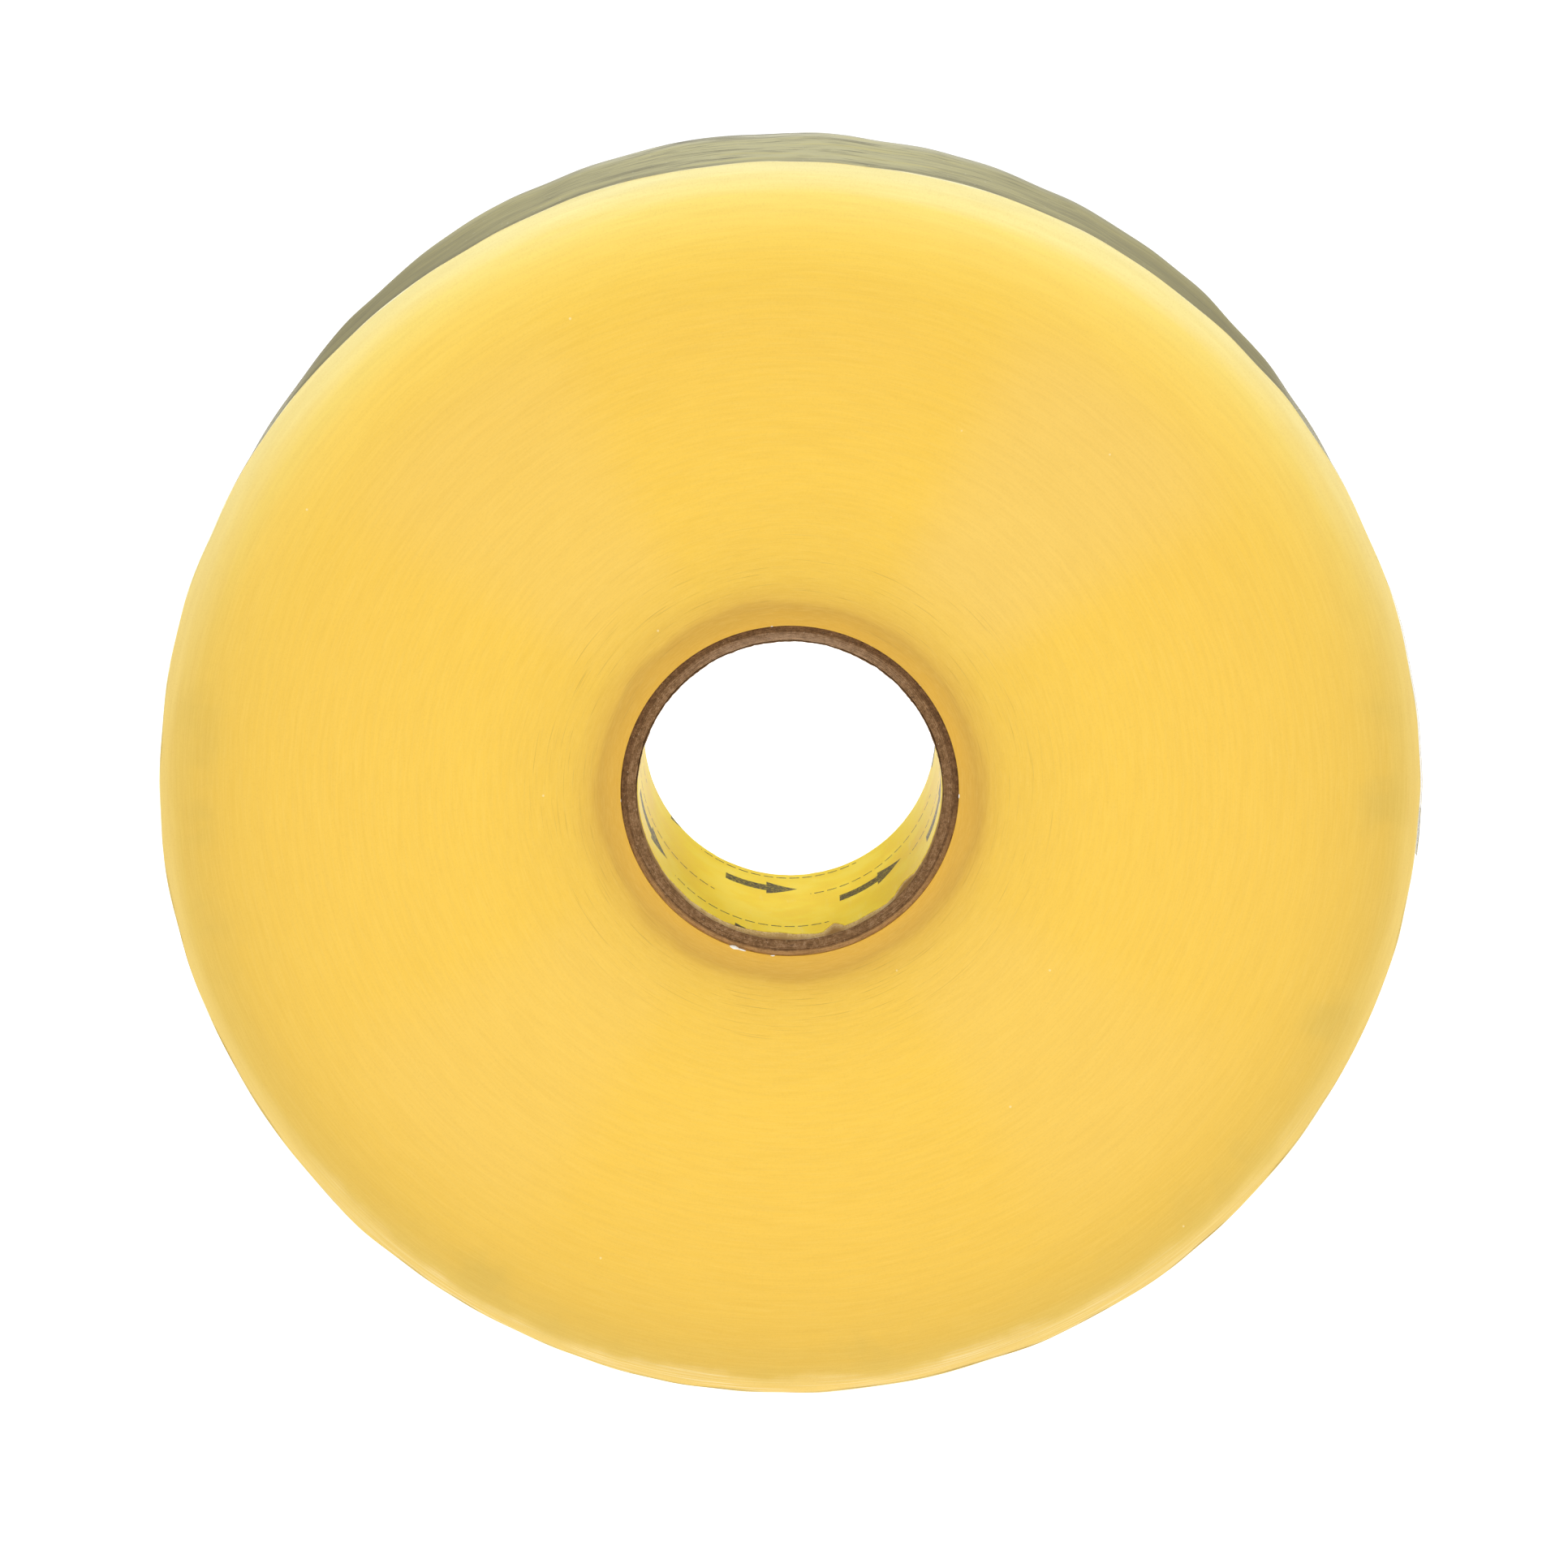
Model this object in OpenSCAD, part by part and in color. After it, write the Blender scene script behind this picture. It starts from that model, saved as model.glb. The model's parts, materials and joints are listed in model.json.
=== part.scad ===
// A machine-length roll of clear box-sealing tape, wound on a spiral paperboard core.
// The roll stands on its rim, as a wheel does. The origin is the centre of the core's bore at
// mid width: +X to the right, +Y along the bore towards the back, +Z up. Millimetres throughout.

/* [Tape] */
// Width of the tape, and so of the wound pack
tape_w = 72; // [24:1:100]
// Length of tape on the core, in metres
tape_length_m = 914; // [200:1:1500]
// Thickness of the tape, film and adhesive together
tape_t = 0.079; // [0.05:0.001:0.12]
// Turns at the outside that form the clear skin of the roll
skin_turns = 3; // [2:1:6]

/* [Core] */
// Diameter of the core's bore
bore_d = 76.2; // [50:0.1:152.4]
// Thickness of the printed paper liner
liner_t = 0.25; // [0.15:0.01:0.6]
// Number of chipboard plies in the core's wall
ply_count = 8; // [3:1:12]
// Thickness of one chipboard ply
ply_t = 0.45; // [0.3:0.01:0.8]
// Thickness of the smooth kraft ply that the tape is wound on
outer_ply_t = 0.3; // [0.2:0.01:0.6]
// How far each end of the core sits inside the faces of the wound tape
core_recess = 0.6; // [0:0.1:3]
// How far the torn front edge of the liner sits inside the core's front end, on average
liner_setback = 4; // [0:0.5:12]

/* [Free end] */
// Place of the peel line on the rim, in degrees above the horizontal on the right
peel_angle = 18; // [5:1:25]
// Length of the free end, from the peel line to its tip
tail_length = 66; // [40:1:120]
// Length of the tip that is folded under to make a grip
grip_length = 12; // [6:1:25]
// Clearance between the free end and the rim
tail_gap = 0.15; // [0.1:0.05:0.5]

/* [Hidden] */
$fn = 180;
// Cutting tools run past the faces that they cut
over = 1;

// Radii, from the bore outwards
bore_r = bore_d / 2;
board_r = bore_r + liner_t;
outer_ply_r = board_r + ply_count * ply_t;
core_r = outer_ply_r + outer_ply_t;
// Seen from the side, the strip's length times its thickness is the area of the wound ring
roll_r = sqrt(core_r * core_r + tape_length_m * 1000 * tape_t / PI);
skin_r = roll_r - skin_turns * tape_t;

// The free end lies just off the rim, with the folded grip under its tip
grip_r = roll_r + tail_gap;
tail_r = grip_r + tape_t;
tip_angle = peel_angle - tail_length / tail_r * 180 / PI;
grip_angle = tip_angle + grip_length / tail_r * 180 / PI;

core_w = tape_w - 2 * core_recess;
liner_w = core_w - liner_setback;

// A tube along the bore, centred on the roll's mid plane
module tube(inner_r, outer_r, width) {
    rotate([90, 0, 0])
        difference() {
            cylinder(r = outer_r, h = width, center = true);
            cylinder(r = inner_r, h = width + 2 * over, center = true);
        }
}

// A strip of tape that follows the rim from one angle to another
module strip(inner_r, from_angle, to_angle) {
    rotate([90, 0, 0])
        rotate([0, 0, from_angle])
            rotate_extrude(angle = to_angle - from_angle)
                translate([inner_r, -tape_w / 2])
                    square([tape_t, tape_w]);
}

// The printed ply that lines the bore: its front edge is torn back, its back edge is whole
module core_liner() {
    color("gold")
        translate([0, liner_setback / 2, 0])
            tube(bore_r, board_r, liner_w);
}

// One chipboard ply of the core's wall, counted from the liner outwards
module core_ply(n) {
    color("rosybrown")
        tube(board_r + (n - 1) * ply_t, board_r + n * ply_t, core_w);
}

// The smooth ply that the tape is wound on
module core_outer_ply() {
    color("sienna")
        tube(outer_ply_r, core_r, core_w);
}

// The wound strip, whose edges make the two amber faces of the roll
module tape_pack() {
    color("goldenrod")
        tube(core_r, skin_r, tape_w);
}

// The last turns of the same strip, which make the clear rim
module outer_turns() {
    color("darkkhaki")
        tube(skin_r, roll_r, tape_w);
}

// The free end of the strip, which lifts about the peel line
module tape_tail() {
    color("khaki")
        strip(tail_r, tip_angle, peel_angle);
}

// The tip of the free end, folded back under it
module grip_fold() {
    color("palegoldenrod")
        strip(grip_r, tip_angle, grip_angle);
}

core_liner();
for (n = [1 : ply_count])
    core_ply(n);
core_outer_ply();
tape_pack();
outer_turns();
tape_tail();
grip_fold();
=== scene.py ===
"""A machine-length roll of clear box-sealing tape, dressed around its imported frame.

The roll stands on its rim. Its bore runs along Y and its front face looks towards -Y.
Lengths are in metres. An angle is counted from the right of the front face, anticlockwise.
"""

import json
import math

import bmesh
import bpy
from mathutils import Matrix, Vector, noise


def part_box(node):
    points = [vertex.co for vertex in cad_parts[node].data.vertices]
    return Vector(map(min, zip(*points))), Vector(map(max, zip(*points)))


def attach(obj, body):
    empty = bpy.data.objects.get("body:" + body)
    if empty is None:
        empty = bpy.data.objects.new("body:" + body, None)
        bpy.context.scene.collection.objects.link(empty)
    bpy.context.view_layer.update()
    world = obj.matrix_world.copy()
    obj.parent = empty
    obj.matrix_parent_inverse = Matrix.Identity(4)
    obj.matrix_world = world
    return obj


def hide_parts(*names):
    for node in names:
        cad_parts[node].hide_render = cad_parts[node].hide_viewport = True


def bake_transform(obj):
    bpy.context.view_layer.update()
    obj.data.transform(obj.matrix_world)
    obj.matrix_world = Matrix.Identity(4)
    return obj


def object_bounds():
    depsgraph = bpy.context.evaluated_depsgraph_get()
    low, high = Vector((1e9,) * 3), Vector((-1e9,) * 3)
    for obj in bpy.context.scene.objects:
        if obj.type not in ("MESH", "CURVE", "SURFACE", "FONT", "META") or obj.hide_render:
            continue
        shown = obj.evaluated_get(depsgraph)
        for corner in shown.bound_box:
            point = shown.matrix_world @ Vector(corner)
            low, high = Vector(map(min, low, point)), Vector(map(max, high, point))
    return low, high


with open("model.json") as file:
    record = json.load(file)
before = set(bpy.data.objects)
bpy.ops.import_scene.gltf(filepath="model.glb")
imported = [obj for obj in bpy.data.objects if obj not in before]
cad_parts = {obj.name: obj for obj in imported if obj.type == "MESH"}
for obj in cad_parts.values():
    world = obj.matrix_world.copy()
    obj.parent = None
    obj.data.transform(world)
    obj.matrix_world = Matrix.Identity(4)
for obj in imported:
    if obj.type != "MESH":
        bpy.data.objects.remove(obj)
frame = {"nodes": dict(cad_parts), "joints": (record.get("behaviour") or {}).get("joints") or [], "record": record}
cad_bounds = [list(corner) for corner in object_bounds()]

MM = 0.001
TURN = 2 * math.pi
# A ring is made as one wedge, copied round this many times in all
WEDGES = 20

# Sizes of the frame
PLY_NAMES = sorted(name for name in frame["nodes"] if name.startswith("core_ply_"))
BORE_MOUNT = next(m for m in frame["record"]["mounts"] if m["name"] == "core_bore")
BORE_R = BORE_MOUNT["dims"]["r_mm"] * MM
LINER_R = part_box("core_liner")[1].x
CORE_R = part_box("core_outer_ply")[1].x
PACK_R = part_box("tape_pack")[1].x
ROLL_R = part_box("outer_turns")[1].x
FRONT, BACK = (corner.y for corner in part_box("tape_pack"))
CORE_FRONT, CORE_BACK = (corner.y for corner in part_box("core_outer_ply"))
WIDTH = BACK - FRONT

# The free end: where it peels, how long it is, and its folded tip
PEEL = Vector(frame["joints"][0]["pos_m"])
PEEL_ANGLE = math.atan2(PEEL.z, PEEL.x)
TIP_ANGLE = math.atan2(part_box("tape_tail")[0].z, ROLL_R)
TAIL_LENGTH = (PEEL_ANGLE - TIP_ANGLE) * ROLL_R
GRIP_LENGTH = 12 * MM
FILM = 0.079 * MM
# How far the strip runs on under the peel line, and how tightly its tip is folded
HIDDEN_START = 12 * MM
FOLD_R = 0.12 * MM

# The slack outer turns: how many soft corners and scallops go round the rim, and their
# heights in mm
CORNERS, CORNER_HEIGHT = 20, 0.26
SCALLOPS, SCALLOP_HEIGHT = 68, 0.34
# How far the outermost turns are pulled in at the faces, in mm
EDGE_TUCK = 0.35
# The winding dips next to the core: at this radius, this deep in mm, and this far to each side
GROOVE_R, GROOVE_DEPTH, GROOVE_SPREAD = 47 * MM, 0.22, 2.6 * MM
# Where the face starts to follow the waves of the rim
WAVES_FROM_R = 118 * MM
# The middle of the pack, which the skin hides, is sunk this far under it
SUNK = 1.5 * MM

# The liner is two layers: the print on the pale paper that shows where it is torn
PRINT_LAYER = 0.1 * MM
FIBRES = 360


def ripple(angle, lobes, shift=0.0):
    """Smooth seamless noise round the roll, about -1 to 1, with that many lobes in a turn."""
    reach = lobes / TURN
    return 1.6 * noise.noise(Vector((reach * math.cos(angle), shift, reach * math.sin(angle))))


def hill(value, middle, spread):
    """A soft hill, 1 high, round a middle value."""
    return math.exp(-(((value - middle) / spread) ** 2))


def smooth(value, low, high):
    """0 below low, 1 above high, and an even curve between."""
    t = min(max((value - low) / (high - low), 0.0), 1.0)
    return t * t * (3 - 2 * t)


def rim_wave(angle, along):
    """How far the wound rim stands out of a true circle: slack turns pull it into soft corners."""
    slant = along / WIDTH
    corners = ripple(angle, CORNERS, 3.1 + 0.5 * slant)
    scallops = ripple(angle, SCALLOPS, 7.7 + 1.3 * slant)
    edge = 0.65 + 0.35 * smooth(slant, -0.2, 0.5)
    return MM * (CORNER_HEIGHT * corners + SCALLOP_HEIGHT * edge * scallops)


# ---------------------------------------------------------------- shapes


def turn_round(mesh, shape, angle, steps, copied):
    """Spins part of a mesh round the bore's axis."""
    bmesh.ops.spin(
        mesh,
        geom=shape,
        cent=(0, 0, 0),
        axis=(0, 1, 0),
        dvec=(0, 0, 0),
        angle=angle,
        steps=steps,
        use_merge=False,
        use_duplicate=copied,
    )


def spun(section, cuts, steps):
    """A ring round the bore's axis, spun from a closed section of (radius, along) corners.
    cuts says, for each side of the section, how many times it is divided. The ring is one
    wedge, copied round, which is much quicker than one long spin."""
    mesh = bmesh.new()
    corners = [mesh.verts.new((radius, along, 0)) for radius, along in section]
    sides = [mesh.edges.new(pair) for pair in zip(corners, corners[1:] + corners[:1])]
    for side, number in zip(sides, cuts):
        if number:
            bmesh.ops.subdivide_edges(mesh, edges=[side], cuts=number)
    turn_round(mesh, list(mesh.verts) + list(mesh.edges), TURN / WEDGES, steps // WEDGES, False)
    turn_round(mesh, list(mesh.faces), TURN * (WEDGES - 1) / WEDGES, WEDGES - 1, True)
    bmesh.ops.remove_doubles(mesh, verts=mesh.verts, dist=1e-6)
    bmesh.ops.recalc_face_normals(mesh, faces=mesh.faces)
    return mesh


def reshape(mesh, rule):
    """Moves each vertex by a rule that turns (radius, angle, along) into the new three."""
    for vertex in mesh.verts:
        x, along, z = vertex.co
        radius, angle, along = rule(math.hypot(x, z), math.atan2(z, x), along)
        vertex.co = (radius * math.cos(angle), along, radius * math.sin(angle))


def finished(mesh, name, materials, sharp=40):
    """Makes the mesh an object with its materials."""
    data = bpy.data.meshes.new(name)
    mesh.to_mesh(data)
    mesh.free()
    for material in materials:
        data.materials.append(material)
    data.shade_smooth()
    data.set_sharp_from_angle(angle=math.radians(sharp))
    piece = bpy.data.objects.new(name, data)
    bpy.context.scene.collection.objects.link(piece)
    return piece


def wound_tape(edges):
    """The wound strip: its edges make the two faces, with slightly uneven turns."""
    section = [(CORE_R, FRONT), (PACK_R, FRONT), (PACK_R, BACK), (CORE_R, BACK)]
    mesh = spun(section, cuts=(58, 2, 58, 0), steps=720)

    def rule(radius, angle, along):
        if abs(along) < 0.4 * WIDTH and radius > CORE_R + MM:
            return radius - SUNK, angle, along
        t = (radius - CORE_R) / (PACK_R - CORE_R)
        t -= 0.6 * math.sin(TURN * t) / TURN
        radius = CORE_R + t * (PACK_R - CORE_R)
        side = 1 if along > 0 else -1
        groove = GROOVE_DEPTH * hill(radius, GROOVE_R, GROOVE_SPREAD)
        uneven = 0.10 * ripple(angle, 5, 300 * radius) * smooth(radius, CORE_R, 60 * MM)
        fringe = 0.12 * ripple(angle, 60, 900 * radius) * smooth(radius, 150 * MM, PACK_R)
        tuck = EDGE_TUCK * smooth(radius, 154 * MM, PACK_R) ** 2
        along += side * MM * (uneven + fringe - groove - tuck)
        radius += rim_wave(angle, along) * smooth(radius, WAVES_FROM_R, PACK_R)
        return radius, angle, along

    reshape(mesh, rule)
    return finished(mesh, "wound_tape", [edges])


def clear_rim(film, cut):
    """The last turns of the strip, a clear glossy skin round the roll."""
    section = [(PACK_R, FRONT), (ROLL_R, FRONT), (ROLL_R, BACK), (PACK_R, BACK)]
    mesh = spun(section, cuts=(0, 28, 0, 28), steps=720)

    def rule(radius, angle, along):
        side = 1 if along > 0 else -1
        nearness = smooth(abs(along), 0.4 * WIDTH, 0.5 * WIDTH)
        radius += rim_wave(angle, along) - 0.12 * MM * nearness**2
        tuck = EDGE_TUCK * nearness + 0.1 * ripple(angle, 90, 2.0 * side) * nearness
        return radius, angle, along - side * MM * tuck

    reshape(mesh, rule)
    for face in mesh.faces:
        face.material_index = int(abs(face.normal.y) > 0.7)
    return finished(mesh, "clear_rim", [film, cut])


def core_end(radius, angle):
    """How far the frayed end of the core sits inside its cut plane at a radius."""
    worn = 0.45 * math.exp(-(radius - LINER_R) / (0.6 * MM))
    fuzz = 0.10 * ripple(angle, 150, 1200 * radius) + 0.12 * ripple(angle, 40, 700 * radius)
    return MM * (worn + fuzz)


def core_tube(name, inner_r, outer_r, material, number):
    """One ply of the core, with a soft worn edge at each end. Every other ply stands back a little."""
    front, back = CORE_FRONT, CORE_BACK
    section = [(inner_r, front), (outer_r, front), (outer_r, back), (inner_r, back)]
    mesh = spun(section, cuts=(2, 0, 2, 6), steps=420)
    lip = 0.05 * MM * (number % 2)

    def rule(radius, angle, along):
        side = 1 if along > 0 else -1
        if abs(along) > CORE_BACK - 0.1 * MM:
            rounding = 0.10 * MM * abs(2 * (radius - inner_r) / (outer_r - inner_r) - 1) ** 3
            along -= side * (core_end(radius, angle) + lip + rounding)
            ragged = 0.05 + 0.08 * ripple(angle, 70, side) + 0.05 * ripple(angle, 200, side)
            radius += MM * ragged * (radius < LINER_R + 0.01 * MM)
        return radius, angle, along

    reshape(mesh, rule)
    return finished(mesh, name, [material])


# Tears in the liner's front edge: angle in degrees, depth in mm, half width in degrees
TEARS = [
    (60, 3.0, 5),
    (128, 2.2, 14),
    (160, 3.6, 4),
    (266, 2.6, 13),
    (287, 6.0, 4),
    (309, -1.8, 7),
    (319, 4.4, 5.5),
]


def torn_edge(angle):
    """How far behind the core's front end the printed layer of the liner begins."""
    back = 4.9 + 0.6 * ripple(angle, 11, 5.0) + 0.7 * ripple(angle, 38, 9.0)
    back += 0.35 * ripple(angle, 120, 2.0)
    for degrees, depth, half_width in TEARS:
        apart = (math.degrees(angle) - degrees + 180) % 360 - 180
        back += depth * max(0.0, 1 - abs(apart) / half_width) ** 0.7
    return MM * max(back, 1.6)


def frayed_lip(angle):
    """How far the frayed front of the torn paper hangs into the bore, in its upper part."""
    hang = smooth(math.sin(angle), -0.3, 0.4)
    fray = 0.09 * ripple(angle, 60, 31.0) + 0.08 * ripple(angle, 210, 33.0)
    return MM * hang * max(0.0, 0.30 + fray)


def liner_tube(name, front_rule, material, outer_r, inner_r, back_short=0.0, frayed=False):
    """A thin paper tube in the bore, whose front edge follows a rule of the angle. Its back
    end stops short of the core's. A frayed one hangs into the bore at its front edge.
    Its vertices keep how far they lie in front of the print's torn edge, as edge_gap."""
    section = [(inner_r, 0), (outer_r, 0), (outer_r, 1), (inner_r, 1)]
    mesh = spun(section, cuts=(0, 16, 0, 16), steps=900)
    gap = mesh.verts.layers.float.new("edge_gap")

    def rule(radius, angle, share):
        front = CORE_FRONT + front_rule(angle)
        back = CORE_BACK - back_short - 0.2 * MM * (1 + ripple(angle, 90, 4.0))
        along = front + (back - front) * share**1.6
        if frayed and share == 0:
            radius -= frayed_lip(angle)
        return radius, angle, along

    reshape(mesh, rule)
    for vertex in mesh.verts:
        x, along, z = vertex.co
        vertex[gap] = CORE_FRONT + torn_edge(math.atan2(z, x)) - along
    return finished(mesh, name, [material])


def printed_liner(material):
    """The printed top layer of the liner."""
    return liner_tube("printed_liner", torn_edge, material, LINER_R - PRINT_LAYER, BORE_R)


def torn_backing(material):
    """The pale inside of the torn paper, which shows as a fuzzy band in front of the print."""

    def rule(angle):
        return MM * (0.55 + 0.12 * ripple(angle, 50, 21.0) + 0.10 * ripple(angle, 160, 12.0))

    inner_r = LINER_R - PRINT_LAYER
    return liner_tube("torn_backing", rule, material, LINER_R, inner_r, 0.3 * MM, frayed=True)


def sliver(mesh, middle, direction, length, thickness):
    """A thin tapered fibre with three sides."""
    turn = Vector((0, 0, 1)).rotation_difference(direction).to_matrix().to_4x4()
    bmesh.ops.create_cone(
        mesh,
        cap_ends=True,
        segments=3,
        radius1=thickness,
        radius2=thickness * 0.3,
        depth=length,
        matrix=Matrix.Translation(middle) @ turn,
    )


def paper_fibres(material):
    """Loose fibres along the worn front edge of the core and on the torn band of the liner."""
    mesh = bmesh.new()
    for number in range(FIBRES):
        wander = noise.noise_vector(Vector((number * 1.7, 0.3, 5.1)))
        angle = TURN * number / FIBRES + 0.02 * wander.x
        radius = LINER_R + 0.3 * MM + 2.2 * MM * abs(wander.y)
        along = CORE_FRONT + core_end(radius, angle) - 0.02 * MM
        outward = Vector((math.cos(angle), 0, math.sin(angle)))
        around = Vector((-outward.z, 0, outward.x))
        lean = outward * (-0.5 + wander.z) + around * (2 * wander.x) + Vector((0, -0.7, 0))
        middle = outward * radius + Vector((0, along, 0))
        sliver(mesh, middle, lean.normalized(), MM * (0.45 + 0.5 * abs(wander.z)), 0.022 * MM)
    bmesh.ops.recalc_face_normals(mesh, faces=mesh.faces)
    return finished(mesh, "paper_fibres", [material])


# Crumbs of torn film and adhesive where the core meets the tape: angle in degrees, size
CRUMBS = [(251, 1.5), (253.5, 1.0), (264.2, 0.6), (358.5, 0.6), (183, 0.45), (96, 0.4), (40, 0.4)]


def film_crumbs(material):
    """White crumbs that cling to the outer edge of the core."""
    mesh = bmesh.new()
    for degrees, size in CRUMBS:
        angle = math.radians(degrees)
        place = Vector((math.cos(angle), 0, math.sin(angle))) * (CORE_R + 0.05 * MM)
        place.y = FRONT + 0.1 * MM
        stretch = Matrix.Diagonal((0.26, 0.25, 1.0, 1.0))
        turn = Matrix.Rotation(-angle, 4, "Y")
        shape = Matrix.Translation(place) @ turn @ stretch
        made = bmesh.ops.create_icosphere(mesh, subdivisions=2, radius=size * MM, matrix=shape)
        for vertex in made["verts"]:
            vertex.co += 0.22 * size * MM * noise.noise_vector(vertex.co * 900)
    return finished(mesh, "film_crumbs", [material])


def strip_path(distance):
    """Angle on the rim and height above it of the free end, at a distance past the peel line."""
    angle = PEEL_ANGLE - distance / ROLL_R
    rise = smooth(distance, -9 * MM, 3 * MM)
    height = MM * (-0.30 + 0.56 * rise)
    height += 0.3 * MM * smooth(distance, 0.25 * TAIL_LENGTH, TAIL_LENGTH) ** 2
    return angle, height


def free_end(film):
    """The free end of the strip, from just under the rim to its folded tip, in one sheet."""
    fold_length = math.pi * FOLD_R
    length = HIDDEN_START + TAIL_LENGTH + fold_length + GRIP_LENGTH
    mesh = bmesh.new()
    bmesh.ops.create_grid(mesh, x_segments=190, y_segments=20, size=0.5)

    def onto_rim(vertex):
        """Lays a point of the flat sheet on the rim, or round the fold and back under the tip."""
        along = vertex.co.y * (WIDTH - 0.5 * MM)
        distance = (vertex.co.x + 0.5) * length - HIDDEN_START
        over_tip = distance - TAIL_LENGTH
        under = 0.0
        if over_tip > fold_length:
            distance = TAIL_LENGTH - (over_tip - fold_length)
            under = 2 * FOLD_R * (1 - 0.55 * smooth(over_tip - fold_length, 0, 5 * MM))
        elif over_tip > 0:
            swing = over_tip / FOLD_R
            distance = TAIL_LENGTH + FOLD_R * math.sin(swing)
            under = FOLD_R * (1 - math.cos(swing))
        angle, height = strip_path(distance)
        free = smooth(distance, 8 * MM, TAIL_LENGTH)
        buckle = 0.12 * free * (math.sin(along / WIDTH * 7 + 1.0) + ripple(angle, 90, 60 * along))
        radius = ROLL_R + rim_wave(angle, along) + height + MM * buckle - under
        vertex.co = (radius * math.cos(angle), along, radius * math.sin(angle))

    for vertex in mesh.verts:
        onto_rim(vertex)
    bmesh.ops.recalc_face_normals(mesh, faces=mesh.faces)
    bmesh.ops.solidify(mesh, geom=list(mesh.faces), thickness=FILM)
    bmesh.ops.recalc_face_normals(mesh, faces=mesh.faces)
    return finished(mesh, "free_end", [film], sharp=60)


# ---------------------------------------------------------------- materials


def paint(red, green, blue):
    """A display colour, 0 to 255 a channel, as the linear colour that a socket takes."""

    def linear(value):
        value /= 255
        return value / 12.92 if value <= 0.04045 else ((value + 0.055) / 1.055) ** 2.4

    return (linear(red), linear(green), linear(blue), 1.0)


class Graph:
    """Adds nodes to one shader tree. Each method gives the output to wire on."""

    def __init__(self, tree):
        self.tree = tree

    def feed(self, socket, value):
        if isinstance(value, bpy.types.NodeSocket):
            self.tree.links.new(value, socket)
        else:
            socket.default_value = value

    def node(self, kind, inputs=None, output=0, **settings):
        made = self.tree.nodes.new("ShaderNode" + kind)
        for name, value in settings.items():
            setattr(made, name, value)
        for key, value in (inputs or {}).items():
            self.feed(made.inputs[key], value)
        return made.outputs[output]

    def math(self, operation, first, second=0.0, third=0.0, clamp=False):
        inputs = {0: first, 1: second, 2: third}
        return self.node("Math", inputs, operation=operation, use_clamp=clamp)

    def add(self, first, second):
        return self.math("ADD", first, second)

    def times(self, first, second):
        return self.math("MULTIPLY", first, second)

    def step(self, value, low, high):
        """0 to 1 as value goes smoothly from low to high."""
        inputs = {"Value": value, "From Min": low, "From Max": high}
        return self.node("MapRange", inputs, interpolation_type="SMOOTHSTEP")

    def between(self, value, low, high, soft):
        """1 from low to high, and 0 outside, with soft edges."""
        rise = self.step(value, low - soft, low + soft)
        fall = self.step(value, high + soft, high - soft)
        return self.times(rise, fall)

    def mix(self, share, first, second, way="MIX"):
        inputs = {0: share, 6: first, 7: second}
        return self.node("Mix", inputs, output=2, data_type="RGBA", blend_type=way)

    def ramp(self, value, stops):
        made = self.tree.nodes.new("ShaderNodeValToRGB")
        self.feed(made.inputs[0], value)
        elements = made.color_ramp.elements
        while len(elements) < len(stops):
            elements.new(0.5)
        for element, (place, colour) in zip(elements, stops):
            element.position = place
            element.color = colour
        return made.outputs[0]

    def noise(self, vector, scale, detail=2.0, roughness=0.5):
        inputs = {"Vector": vector, "Scale": scale, "Detail": detail, "Roughness": roughness}
        return self.node("TexNoise", inputs)

    def group(self, tree, inputs, output):
        made = self.tree.nodes.new("ShaderNodeGroup")
        made.node_tree = tree
        for key, value in inputs.items():
            self.feed(made.inputs[key], value)
        return made.outputs[output]


def new_group(name, inputs, outputs):
    """An empty node group with named sockets, given as {name: kind}."""
    tree = bpy.data.node_groups.new(name, "ShaderNodeTree")
    for way, sockets in (("INPUT", inputs), ("OUTPUT", outputs)):
        for socket, kind in sockets.items():
            tree.interface.new_socket(socket, in_out=way, socket_type="NodeSocket" + kind)
    enter = tree.nodes.new("NodeGroupInput").outputs
    leave = tree.nodes.new("NodeGroupOutput").inputs
    return Graph(tree), enter, leave


def place_group():
    """Where a point lies on the roll: its radius, its direction outward, its place along the bore,
    and how far its direction points up and to the right, each -1 to 1."""
    outputs = {"Radius": "Float", "Outward": "Vector", "Along": "Float", "Rise": "Float", "Side": "Float"}
    graph, _, leave = new_group("roll_place", {}, outputs)
    point = graph.node("TexCoord", output="Object")
    split = graph.tree.nodes.new("ShaderNodeSeparateXYZ")
    graph.feed(split.inputs[0], point)
    flat = graph.node("CombineXYZ", {0: split.outputs[0], 2: split.outputs[2]})
    outward = graph.node("VectorMath", {0: flat}, operation="NORMALIZE")
    turned = graph.tree.nodes.new("ShaderNodeSeparateXYZ")
    graph.feed(turned.inputs[0], outward)
    graph.feed(leave["Radius"], graph.node("VectorMath", {0: flat}, output=1, operation="LENGTH"))
    graph.feed(leave["Outward"], outward)
    graph.feed(leave["Along"], split.outputs[1])
    graph.feed(leave["Rise"], turned.outputs[2])
    graph.feed(leave["Side"], turned.outputs[0])
    return graph.tree


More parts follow.
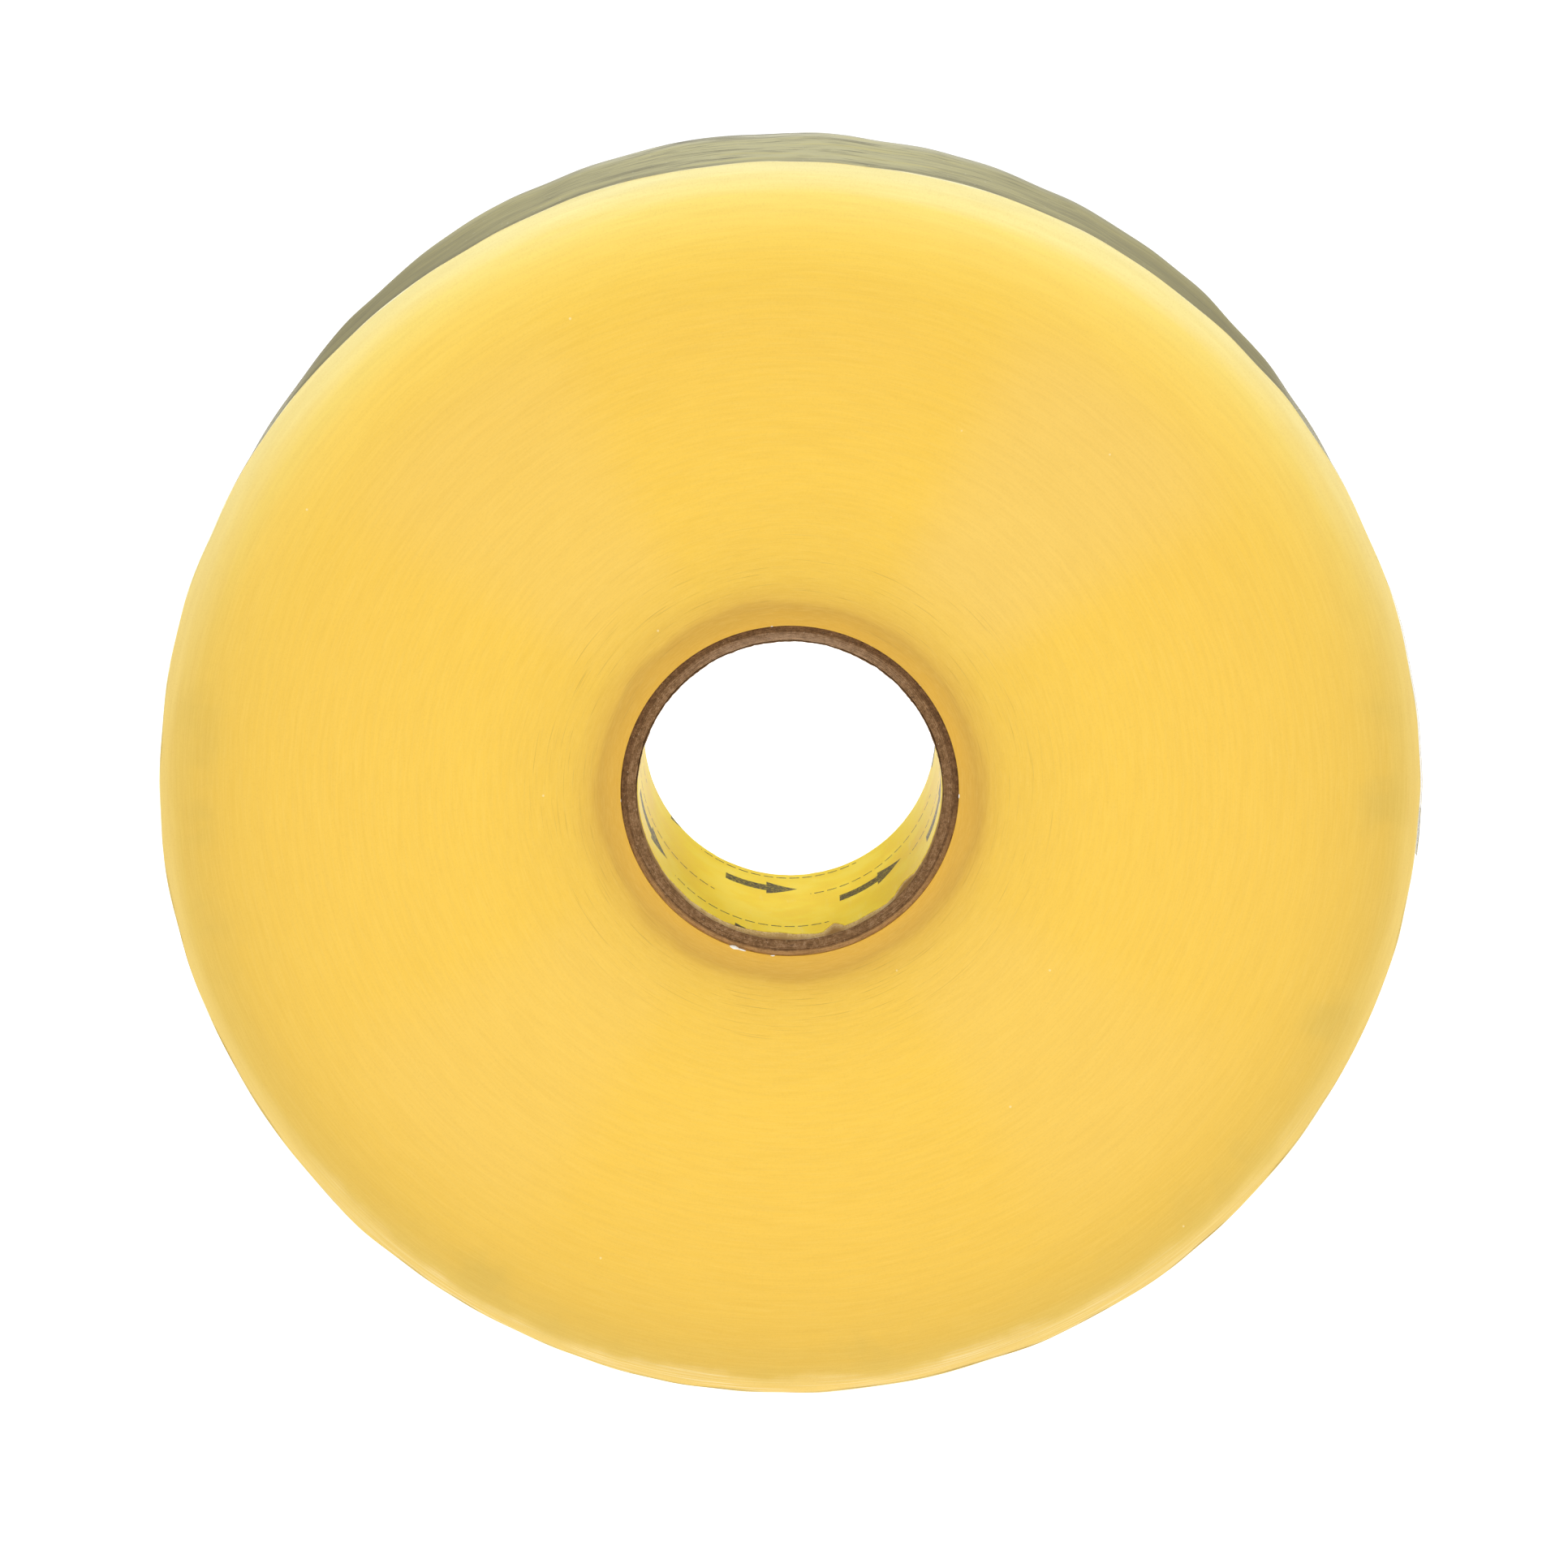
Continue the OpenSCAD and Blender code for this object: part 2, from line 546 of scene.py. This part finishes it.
def streak_group():
    """Streaks that run round the roll, as slit edges and wound film have."""
    inputs = {"Outward": "Vector", "Across": "Float", "Lobes": "Float", "Lines": "Float", "Seed": "Float"}
    graph, enter, leave = new_group("winding_streaks", inputs, {"Streaks": "Float"})
    reach = graph.math("DIVIDE", enter["Lobes"], TURN)
    ring = graph.node("VectorMath", {0: enter["Outward"], 3: reach}, operation="SCALE")
    rise = graph.math("MULTIPLY_ADD", enter["Across"], enter["Lines"], enter["Seed"])
    lift = graph.node("CombineXYZ", {1: rise})
    spot = graph.node("VectorMath", {0: ring, 1: lift}, operation="ADD")
    graph.feed(leave["Streaks"], graph.noise(spot, 1.0, 3.0, 0.55))
    return graph.tree


def fibre_group():
    """Pulp: matted fibres, and scattered light and dark specks."""
    outputs = {"Fibres": "Float", "Light": "Float", "Dark": "Float"}
    graph, enter, leave = new_group("paper_pulp", {"Vector": "Vector"}, outputs)
    stretched = graph.node("Mapping", {"Vector": enter["Vector"], "Scale": (1.0, 0.35, 1.0)})
    fine = graph.noise(stretched, 2600.0, 4.0, 0.65)
    coarse = graph.noise(enter["Vector"], 900.0, 3.0, 0.6)
    both = graph.times(graph.add(fine, coarse), 0.5)
    graph.feed(leave["Fibres"], both)
    for name, scale, low in (("Light", 1500.0, 0.70), ("Dark", 1150.0, 0.72)):
        shift = graph.node("Mapping", {"Vector": enter["Vector"], "Location": (low, low, 0.3)})
        grain = graph.noise(shift, scale, 1.0, 0.4)
        graph.feed(leave[name], graph.step(grain, low, low + 0.06))
    return graph.tree


def speck_group():
    """Sparse round specks."""
    inputs = {"Vector": "Vector", "Scale": "Float", "Share": "Float"}
    graph, enter, leave = new_group("specks", inputs, {"Mask": "Float"})
    cells = graph.tree.nodes.new("ShaderNodeTexVoronoi")
    graph.feed(cells.inputs["Vector"], enter["Vector"])
    graph.feed(cells.inputs["Scale"], enter["Scale"])
    near = graph.step(cells.outputs["Distance"], 0.22, 0.10)
    red = graph.node("SeparateColor", {0: cells.outputs["Color"]})
    chosen = graph.math("LESS_THAN", red, enter["Share"])
    graph.feed(leave["Mask"], graph.times(near, chosen))
    return graph.tree


PLACE = place_group()
STREAKS = streak_group()
PULP = fibre_group()
SPECKS = speck_group()


class Finish(Graph):
    """One material: a Principled shader, and where its surface lies on the roll."""

    def __init__(self, name, **values):
        self.material = bpy.data.materials.new(name)
        self.material.use_nodes = True
        super().__init__(self.material.node_tree)
        self.tree.nodes.clear()
        self.shader = self.tree.nodes.new("ShaderNodeBsdfPrincipled")
        output = self.tree.nodes.new("ShaderNodeOutputMaterial")
        self.tree.links.new(self.shader.outputs[0], output.inputs[0])
        self.set(**values)
        self.point = self.node("TexCoord", output="Object")
        place = self.tree.nodes.new("ShaderNodeGroup")
        place.node_tree = PLACE
        self.radius, self.outward, self.along, self.rise, self.side = place.outputs

    def set(self, **values):
        """Sets sockets of the shader by name, with _ for a space."""
        for name, value in values.items():
            self.feed(self.shader.inputs[name.replace("_", " ")], value)

    def streaks(self, across, lobes, lines, seed=0.0):
        """Streaks round the roll: lobes is how many go round, lines how many cross a metre."""
        inputs = {"Outward": self.outward, "Across": across, "Lobes": lobes, "Lines": lines, "Seed": seed}
        return self.group(STREAKS, inputs, "Streaks")

    def facing(self, degrees):
        """The cosine of the angle between a point's direction and one given in degrees."""
        direction = (math.cos(math.radians(degrees)), 0.0, math.sin(math.radians(degrees)))
        inputs = {0: self.outward, 1: direction}
        return self.node("VectorMath", inputs, output=1, operation="DOT_PRODUCT")

    def bumped(self, height, distance, strength=1.0):
        inputs = {"Height": height, "Distance": distance, "Strength": strength}
        self.set(Normal=self.node("Bump", inputs))


# Colours of the wound edges from the core out to the rim: radius in mm and display colour. The dip round 47 mm is
# painted shade where the winding dips next to the core, the darker band from 142 to 153 mm is painted shade, and
# the paler last stop is painted light that seeps in through the rim
EDGE_TONES = [
    (42.3, (221, 170, 58)),
    (44.0, (217, 168, 62)),
    (47.3, (207, 161, 62)),
    (50.0, (226, 182, 70)),
    (55.0, (237, 194, 74)),
    (62.0, (242, 198, 75)),
    (80.0, (247, 202, 76)),
    (112.0, (245, 200, 77)),
    (130.0, (241, 197, 77)),
    (142.0, (234, 192, 78)),
    (149.0, (226, 187, 80)),
    (153.0, (225, 190, 90)),
    (157.3, (235, 205, 118)),
]


# The same at the top of the roll, where light from above soaks into the outer turns
LIT_TONES = [
    (116.0, (245, 200, 77)),
    (128.0, (245, 202, 78)),
    (134.0, (247, 206, 82)),
    (138.0, (249, 210, 88)),
    (142.0, (251, 214, 96)),
    (146.0, (252, 220, 108)),
    (149.0, (253, 227, 121)),
    (152.0, (253, 233, 146)),
    (154.0, (253, 238, 160)),
    (157.3, (253, 242, 176)),
]


# Painted sheen: pale rays across the winding, standing for the lamps' glare in its fine grooves: angle in degrees,
# strength
PAINTED_SHEEN_RAYS = [(49, 0.55), (132, 0.35), (225, 0.28), (315, 0.28)]


def tone_ramp(look, share, tones):
    """A ramp over the winding, from the core to the rim, through tones given by radius."""
    span = ROLL_R - CORE_R
    stops = [(max((radius * MM - CORE_R) / span, 0.0), paint(*tone)) for radius, tone in tones]
    return look.ramp(share, stops)


def amber_edges():
    """The slit edges of a thousand turns of tape: amber, streaked round the roll, paler at the rim."""
    look = Finish("amber_edges", Specular_IOR_Level=0.25)
    broad = look.streaks(look.radius, 14.0, 260.0)
    medium = look.streaks(look.radius, 46.0, 900.0, 4.0)
    fine = look.streaks(look.radius, 110.0, 3600.0, 9.0)
    wandering = look.math("MULTIPLY_ADD", look.add(broad, -0.5), 5 * MM, look.radius)
    span = ROLL_R - CORE_R
    share = look.math("DIVIDE", look.add(wandering, -CORE_R), span, clamp=True)
    colour = tone_ramp(look, share, EDGE_TONES)
    lit = look.times(look.step(look.rise, -0.05, 1.05), look.step(look.radius, 112 * MM, 120 * MM))
    colour = look.mix(lit, colour, tone_ramp(look, share, LIT_TONES))
    # painted sheen: the face is paler along these rays
    for degrees, strength in PAINTED_SHEEN_RAYS:
        across = look.between(look.radius, 58 * MM, 134 * MM, 14 * MM)
        sheen_ray = look.times(look.step(look.facing(degrees), 0.94, 1.0), across)
        colour = look.mix(look.times(sheen_ray, strength), colour, paint(242, 203, 108))

    lobes = look.streaks(look.radius, 46.0, 30.0, 2.0)
    wavy = look.math("MULTIPLY_ADD", look.add(lobes, -0.5), -9 * MM, look.radius)
    # painted light: a pale scalloped border at the lower rim, standing for light from the floor that seeps in
    # through the outer turns
    fringe = look.times(look.step(wavy, 152.4 * MM, 155.4 * MM), look.step(look.rise, -0.35, -1.05))
    lines = look.step(look.streaks(look.radius, 34.0, 5200.0, 3.0), 0.46, 0.70)
    pale = look.mix(lines, paint(238, 204, 112), paint(252, 232, 178))
    colour = look.mix(look.times(fringe, 0.85), colour, pale)
    # painted shade: darker olive wisps in the band near the rim, on the lower half of the face only
    shade_wisps = look.times(look.step(lobes, 0.5, 0.72), look.between(look.radius, 143 * MM, 153 * MM, 5 * MM))
    shade_wisps = look.times(shade_wisps, look.step(look.rise, 0.5, 0.0))
    colour = look.mix(look.times(shade_wisps, 0.4), colour, paint(206, 176, 82))

    hair = look.step(look.streaks(look.radius, 20.0, 3000.0, 6.0), 0.60, 0.72)
    hair = look.times(hair, look.between(look.radius, 45 * MM, 66 * MM, 9 * MM))
    colour = look.mix(look.times(hair, 0.38), colour, paint(160, 118, 50))
    colour = look.mix(look.times(look.step(medium, 0.30, 0.75), 0.11), colour, paint(206, 158, 56))
    colour = look.mix(look.times(look.step(fine, 0.35, 0.8), 0.12), colour, paint(255, 226, 130))
    grain = look.noise(look.point, 2400.0, 2.0)
    colour = look.mix(look.times(look.step(grain, 0.45, 0.8), 0.10), colour, paint(196, 150, 60))
    specks = look.group(SPECKS, {"Vector": look.point, "Scale": 520.0, "Share": 0.0015}, "Mask")
    colour = look.mix(look.times(specks, 0.5), colour, paint(255, 240, 190))
    look.set(Base_Color=colour)
    look.set(Roughness=look.math("MULTIPLY_ADD", fine, 0.16, 0.36))
    height = look.add(look.times(fine, 0.6), look.add(look.times(medium, 0.5), look.times(grain, 0.15)))
    look.bumped(height, 0.10 * MM, 0.6)
    return look.material


def film_tones(look):
    """The streaks of clear film, as the rim and the free end show them: medium, fine and blended."""
    broad = look.streaks(look.along, 5.0, 60.0)
    medium = look.streaks(look.along, 12.0, 330.0, 5.0)
    fine = look.streaks(look.along, 30.0, 2000.0, 8.0)
    blend = look.add(look.times(broad, 0.35), look.add(look.times(medium, 0.45), look.times(fine, 0.25)))
    return medium, fine, blend


def rim_film():
    """The glossy skin of the roll: clear film over amber, with dark lines and pockets of air."""
    look = Finish("rim_film", Specular_IOR_Level=0.1, Coat_Weight=0.5, Coat_Roughness=0.22)
    medium, fine, blend = film_tones(look)
    colour = look.ramp(
        look.step(blend, 0.36, 0.68),
        [
            (0.0, paint(154, 143, 88)),
            (0.35, paint(168, 156, 95)),
            (0.7, paint(184, 172, 106)),
            (1.0, paint(199, 186, 116)),
        ],
    )
    # painted reflection: the rim is paler where it faces up or down, standing for the studio's glare at a grazing
    # view
    lift = look.step(look.math("ABSOLUTE", look.side), 0.8, 0.0)
    colour = look.mix(look.times(lift, 0.82), colour, paint(232, 227, 174))
    # painted reflection: paler still towards the far edge, most of all at the top
    far = look.step(look.along, 0.24 * WIDTH, 0.5 * WIDTH)
    far = look.times(far, look.math("MULTIPLY_ADD", lift, 0.65, 0.2))
    colour = look.mix(far, colour, paint(244, 241, 216))
    # painted shade: darker along the front edge of the rim
    near = look.times(look.step(look.along, FRONT + 12 * MM, FRONT), 0.4)
    colour = look.mix(near, colour, paint(122, 115, 86))
    patches = look.streaks(look.along, 20.0, 100.0, 11.0)
    clear = look.math("MULTIPLY_ADD", lift, 0.40, 0.14)
    colour = look.mix(look.times(look.step(patches, 0.52, 0.68), clear), colour, paint(132, 126, 94))
    colour = look.mix(look.times(look.step(patches, 0.46, 0.32), clear), colour, paint(232, 220, 136))
    mottle = look.streaks(look.along, 60.0, 260.0, 17.0)
    colour = look.mix(look.times(look.step(mottle, 0.50, 0.66), clear), colour, paint(146, 140, 108))
    colour = look.mix(look.times(look.step(mottle, 0.46, 0.32), clear), colour, paint(228, 220, 154))
    dashes = look.streaks(look.along, 90.0, 760.0, 23.0)
    dashes = look.times(look.step(dashes, 0.56, 0.62), look.step(patches, 0.42, 0.52))
    dashes = look.times(dashes, look.math("MULTIPLY_ADD", lift, 0.5, 0.15))
    colour = look.mix(dashes, colour, paint(88, 82, 58))
    air = look.streaks(look.along, 44.0, 900.0, 31.0)
    air = look.times(look.step(air, 0.62, 0.74), look.step(patches, 0.54, 0.40))
    colour = look.mix(look.times(air, 0.4), colour, paint(238, 236, 218))
    # painted glints: sparse white dots standing for glints of light on the film
    specks = look.group(SPECKS, {"Vector": look.point, "Scale": 620.0, "Share": 0.07}, "Mask")
    colour = look.mix(look.times(specks, 0.9), colour, paint(250, 246, 220))
    look.set(Base_Color=colour)
    look.set(Roughness=look.math("MULTIPLY_ADD", fine, 0.25, 0.22))
    waves = look.noise(look.point, 110.0, 2.0)
    height = look.add(look.times(waves, 0.9), look.add(look.times(medium, 0.35), look.times(fine, 0.1)))
    look.bumped(height, 0.25 * MM, 0.5)
    return look.material


def cut_film():
    """The slit edge of the clear outer turns, a thin bright line round the face."""
    look = Finish("cut_film", Specular_IOR_Level=0.3)
    tones = look.streaks(look.radius, 60.0, 2400.0, 13.0)
    # painted light: the line is paler on the upper part of the roll and darker and more amber on the lower part
    pale = look.mix(look.step(tones, 0.35, 0.65), paint(240, 222, 150), paint(255, 248, 204))
    low = look.mix(look.step(tones, 0.35, 0.65), paint(196, 166, 88), paint(244, 222, 156))
    look.set(Base_Color=look.mix(look.step(look.rise, -0.2, 0.5), low, pale))
    look.set(Roughness=look.math("MULTIPLY_ADD", tones, 0.2, 0.3))
    look.bumped(tones, 0.08 * MM, 0.5)
    return look.material


def free_film():
    """One thickness of clear film with its faintly amber adhesive."""
    look = Finish("free_film", Coat_Weight=0.5, Coat_Roughness=0.08, Specular_IOR_Level=0.5)
    medium, fine, blend = film_tones(look)
    tones = [(0.0, paint(190, 169, 98)), (1.0, paint(220, 201, 130))]
    look.set(Base_Color=look.ramp(look.step(blend, 0.3, 0.75), tones))
    look.set(Roughness=look.math("MULTIPLY_ADD", fine, 0.2, 0.08))
    edge = 0.5 * WIDTH
    side_line = look.step(look.math("ABSOLUTE", look.along), edge - 1.3 * MM, edge - 0.3 * MM)
    hazy = look.math("MULTIPLY_ADD", side_line, 0.45, 0.10)
    look.set(Alpha=look.math("MULTIPLY_ADD", blend, 0.28, hazy, clamp=True))
    look.bumped(look.add(look.noise(look.point, 60.0, 1.0), look.times(medium, 0.2)), 0.2 * MM, 0.3)
    return look.material


def paperboard(name, base, dark, light, torn=None, painted_light_band=None):
    """Recycled board: matted fibres in brown, with light and dark specks. Torn paper darkens to its torn colour
    away from the edge of the print. A painted light band pales the board to a tone between two heights round the
    bore and two radii: painted light where the board's end faces the lamps."""
    look = Finish(name, Specular_IOR_Level=0.15)
    pulp = look.tree.nodes.new("ShaderNodeGroup")
    pulp.node_tree = PULP
    look.feed(pulp.inputs["Vector"], look.point)
    fibres, light_specks, dark_specks = pulp.outputs
    colour = look.ramp(look.step(fibres, 0.36, 0.66), [(0.0, dark), (0.5, base), (1.0, light)])
    patches = look.streaks(look.radius, 90.0, 2600.0, 2.0)
    colour = look.mix(look.times(look.step(patches, 0.52, 0.7), 0.5), colour, light)
    colour = look.mix(look.times(look.step(patches, 0.48, 0.3), 0.5), colour, dark)
    colour = look.mix(look.times(light_specks, 0.5), colour, paint(190, 162, 130))
    colour = look.mix(look.times(dark_specks, 0.6), colour, paint(58, 40, 28))
    # painted light: the end of the board pales where it faces the lamps
    if painted_light_band:
        low, high, start, end, tone = painted_light_band
        mottled = look.step(look.add(fibres, patches), 0.70, 1.20)
        upward = look.step(look.rise, low, high)
        share = look.times(upward, look.step(look.radius, start * MM, end * MM))
        share = look.times(share, look.math("MULTIPLY_ADD", mottled, 0.6, 0.5))
        colour = look.mix(share, colour, tone)
    if torn:
        gap = look.node("Attribute", output="Fac", attribute_name="edge_gap")
        gap = look.math("MULTIPLY_ADD", look.add(fibres, -0.5), 4 * MM, gap)
        reach = look.math("MULTIPLY_ADD", look.step(look.rise, -0.5, -0.9), 5 * MM, 2 * MM)
        inside = look.node("MapRange", {"Value": gap, "From Min": 0.6 * MM, "From Max": reach})
        colour = look.mix(inside, colour, torn)
    look.set(Base_Color=colour)
    look.set(Roughness=look.math("MULTIPLY_ADD", fibres, 0.2, 0.8))
    look.bumped(look.add(fibres, look.times(light_specks, 0.3)), 0.12 * MM, 0.8)
    return look.material


# An arrow of the print, measured from its middle: half its length, where its shaft ends and its
# head begins, half the shaft's width, and the slope of the head's sides
ARROW_HALF_LENGTH = 9.6 * MM
SHAFT_END, HEAD_START = 2.0 * MM, 1.5 * MM
SHAFT_HALF_WIDTH = 3.1 * MM
HEAD_SLOPE = 0.8
# The dashed rule beside it: its two sides, its two ends, and half the step between its dashes
RULE_SIDES = (-7.0 * MM, -6.2 * MM)
RULE_ENDS = (13 * MM, 56 * MM)
HALF_DASH_STEP = 1.7 * MM
# The print on the liner repeats along two slanted steps, given as (round the bore, along it)
STEP_A = (30.3 * MM, -19.2 * MM)
STEP_B = (98.9 * MM, -4.4 * MM)
PRINT_START = (-7.6 * MM, 19.0 * MM)


def print_mask(look):
    """Ink: plain winding arrows, each with a dashed rule beside it."""
    downward = look.math("ARCTAN2", look.side, look.times(look.rise, -1.0))
    round_bore = look.math("MULTIPLY_ADD", downward, BORE_R, -PRINT_START[0])
    along = look.add(look.along, -PRINT_START[1])
    area = STEP_A[0] * STEP_B[1] - STEP_A[1] * STEP_B[0]

    def whole_steps(of_round, of_along):
        steps = look.add(look.times(round_bore, of_round / area), look.times(along, of_along / area))
        return look.math("ROUND", steps)

    steps_a = whole_steps(STEP_B[1], -STEP_B[0])
    steps_b = whole_steps(-STEP_A[1], STEP_A[0])

    def local(value, axis):
        moved = look.math("MULTIPLY_ADD", steps_a, -STEP_A[axis], value)
        return look.math("MULTIPLY_ADD", steps_b, -STEP_B[axis], moved)

    u, v = local(round_bore, 0), local(along, 1)
    soft = 0.08 * MM
    height = look.math("ABSOLUTE", v)
    within = look.step(height, SHAFT_HALF_WIDTH + soft, SHAFT_HALF_WIDTH - soft)
    shaft = look.times(look.between(u, -ARROW_HALF_LENGTH, SHAFT_END, soft), within)
    taper = look.math("MULTIPLY_ADD", look.add(u, -ARROW_HALF_LENGTH), HEAD_SLOPE, height)
    past_neck = look.step(u, HEAD_START - soft, HEAD_START + soft)
    head = look.times(look.step(taper, soft, -soft), past_neck)
    arrow = look.math("MAXIMUM", shaft, head)
    dash = look.step(look.math("PINGPONG", u, HALF_DASH_STEP), 0.35 * MM, 0.5 * MM)
    rule = look.times(look.between(v, *RULE_SIDES, soft), look.between(u, *RULE_ENDS, soft))
    return look.math("MAXIMUM", arrow, look.times(rule, dash))


def printed_paper():
    """Satin yellow paper with dark print, scuffed along the bore."""
    look = Finish("printed_paper", Specular_IOR_Level=0.4, Coat_Weight=0.15, Coat_Roughness=0.35)
    scuffs = look.streaks(look.along, 90.0, 60.0, 3.0)
    cloud = look.noise(look.point, 90.0, 3.0)
    tones = [(0.0, paint(252, 227, 48)), (0.5, paint(254, 233, 58)), (1.0, paint(255, 238, 88))]
    colour = look.ramp(look.step(cloud, 0.32, 0.7), tones)
    pale = look.step(scuffs, 0.60, 0.80)
    colour = look.mix(look.times(pale, 0.35), colour, paint(252, 240, 160))
    worn = look.step(look.noise(look.point, 1500.0, 3.0), 0.38, 0.52)
    ink = look.times(print_mask(look), look.math("MULTIPLY_ADD", worn, 0.35, 0.62))
    colour = look.mix(ink, colour, paint(58, 56, 44))
    look.set(Base_Color=colour)
    look.set(Roughness=look.math("MULTIPLY_ADD", cloud, 0.2, 0.38))
    creases = look.add(look.times(look.noise(look.point, 260.0, 4.0), 0.7), look.times(scuffs, 0.4))
    look.bumped(creases, 0.25 * MM, 0.6)
    return look.material


def crumb_film():
    """Whitened scraps of film."""
    look = Finish("crumb_film", Specular_IOR_Level=0.5, Roughness=0.35)
    patches = look.noise(look.point, 1800.0, 3.0)
    look.set(Base_Color=look.mix(patches, paint(232, 222, 206), paint(255, 252, 245)))
    look.bumped(patches, 0.1 * MM)
    return look.material


# ---------------------------------------------------------------- the roll

chipboard = paperboard(
    "chipboard",
    base=paint(132, 98, 64),
    dark=paint(106, 77, 48),
    light=paint(160, 126, 92),
    # painted light on the upper inner part of the chipboard's end
    painted_light_band=(0.5, 1.5, 41.5, 39.0, paint(180, 150, 122)),
)
kraft = paperboard(
    "kraft",
    base=paint(112, 80, 50),
    dark=paint(88, 62, 38),
    light=paint(136, 102, 68),
    # painted light on the lower outer edge of the kraft, where the recess wall faces up
    painted_light_band=(0.1, -0.9, 40.7, 41.5, paint(186, 142, 90)),
)
torn_paper = paperboard(
    "torn_paper",
    base=paint(214, 192, 150),
    dark=paint(180, 152, 112),
    light=paint(236, 220, 186),
    torn=paint(150, 118, 82),
)
loose_fibre = paperboard(
    "loose_fibre",
    base=paint(172, 142, 108),
    dark=paint(140, 110, 80),
    light=paint(200, 176, 144),
)
# The outermost plies are of darker board
DARK_PLIES = 3

riders = [
    (wound_tape(amber_edges()), ["tape_pack"]),
    (clear_rim(rim_film(), cut_film()), ["outer_turns"]),
    (printed_liner(printed_paper()), ["core_liner"]),
    (torn_backing(torn_paper), []),
    (paper_fibres(loose_fibre), []),
    (film_crumbs(crumb_film()), []),
]
inner_r = LINER_R
for number, name in enumerate(PLY_NAMES, start=1):
    outer_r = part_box(name)[1].x
    board = kraft if number > len(PLY_NAMES) - DARK_PLIES else chipboard
    ply = core_tube(f"board_{number}", inner_r, outer_r, board, number)
    riders.append((ply, [name]))
    inner_r = outer_r
wrap = core_tube("kraft_wrap", inner_r, CORE_R, kraft, 0)
riders.append((wrap, ["core_outer_ply"]))
for piece, nodes in riders:
    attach(piece, "roll")
    if nodes:
        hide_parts(*nodes)

# The film bends over the first millimetres past the peel line
tail = free_end(free_film())
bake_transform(tail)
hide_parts("tape_tail", "grip_fold")


# ---------------------------------------------------------------- floor, light and camera


FLOOR_R = 2.6


def floor():
    """A pale floor that the roll stands on."""
    mesh = bmesh.new()
    bmesh.ops.create_circle(mesh, cap_ends=True, segments=96, radius=FLOOR_R)
    data = bpy.data.meshes.new("floor")
    mesh.to_mesh(data)
    mesh.free()
    material = bpy.data.materials.new("pale_floor")
    material.use_nodes = True
    shader = material.node_tree.nodes["Principled BSDF"]
    shader.inputs["Base Color"].default_value = (0.5, 0.5, 0.5, 1)
    shader.inputs["Roughness"].default_value = 0.9
    shader.inputs["Specular IOR Level"].default_value = 0.0
    shader.inputs["Emission Color"].default_value = (1, 1, 1, 1)
    shader.inputs["Emission Strength"].default_value = 0.95
    data.materials.append(material)
    plane = bpy.data.objects.new("floor", data)
    plane.location.z = cad_bounds[0][2]
    bpy.context.scene.collection.objects.link(plane)


def softbox(name, place, size, power):
    """A soft rectangular light that looks at the roll's middle."""
    light = bpy.data.lights.new(name, "AREA")
    light.shape = "RECTANGLE"
    light.size, light.size_y = size
    light.energy = power
    lamp = bpy.data.objects.new(name, light)
    lamp.location = place
    lamp.rotation_euler = (-Vector(place)).to_track_quat("-Z", "Y").to_euler()
    lamp.visible_camera = False
    bpy.context.scene.collection.objects.link(lamp)


def studio():
    """A white studio: soft lights in front, above and behind, and an even white surround."""
    world = bpy.data.worlds.new("studio")
    world.use_nodes = True
    sky = Graph(world.node_tree)
    background = world.node_tree.nodes["Background"]
    background.inputs["Color"].default_value = (1, 1, 1, 1)
    seen = sky.node("LightPath", output="Is Camera Ray")
    mirrored = sky.node("LightPath", output="Is Glossy Ray")
    strength = sky.math("MULTIPLY_ADD", mirrored, -0.3, 0.5)
    sky.feed(background.inputs["Strength"], sky.math("MULTIPLY_ADD", seen, 0.65, strength))
    bpy.context.scene.world = world
    softbox("front_key", (-0.7, -2.2, 1.7), (1.8, 1.2), 6.5)
    softbox("high_front", (0.1, -0.95, 1.45), (0.8, 0.6), 2.0)
    softbox("front_fill", (1.4, -2.0, 0.8), (1.6, 1.6), 5.3)
    softbox("overhead", (0.0, -0.1, 2.1), (2.4, 2.0), 9.8)
    softbox("rear_fill", (0.0, 1.2, 1.8), (1.0, 0.8), 15)
    bpy.context.scene.view_settings.view_transform = "Standard"


# The eye: how far it stands in front of the face, how high, its tilt down, and its lens in mm
EYE_OFF, EYE_HEIGHT = 1.3704, 0.3026
EYE_TILT, EYE_TURN = 12.37, 0.05
LENS, SENSOR = 129.09, 36


def camera():
    """The eye stands in front of the roll and a little above it, looking down at it."""
    lens = bpy.data.cameras.new("camera")
    lens.sensor_width = SENSOR
    lens.lens = LENS
    lens.clip_end = 100
    eye = bpy.data.objects.new("camera", lens)
    eye.location = (-0.00023, FRONT - EYE_OFF, EYE_HEIGHT)
    eye.rotation_euler = (math.radians(90 - EYE_TILT), 0, math.radians(EYE_TURN))
    bpy.context.scene.collection.objects.link(eye)
    bpy.context.scene.camera = eye


floor()
studio()
camera()
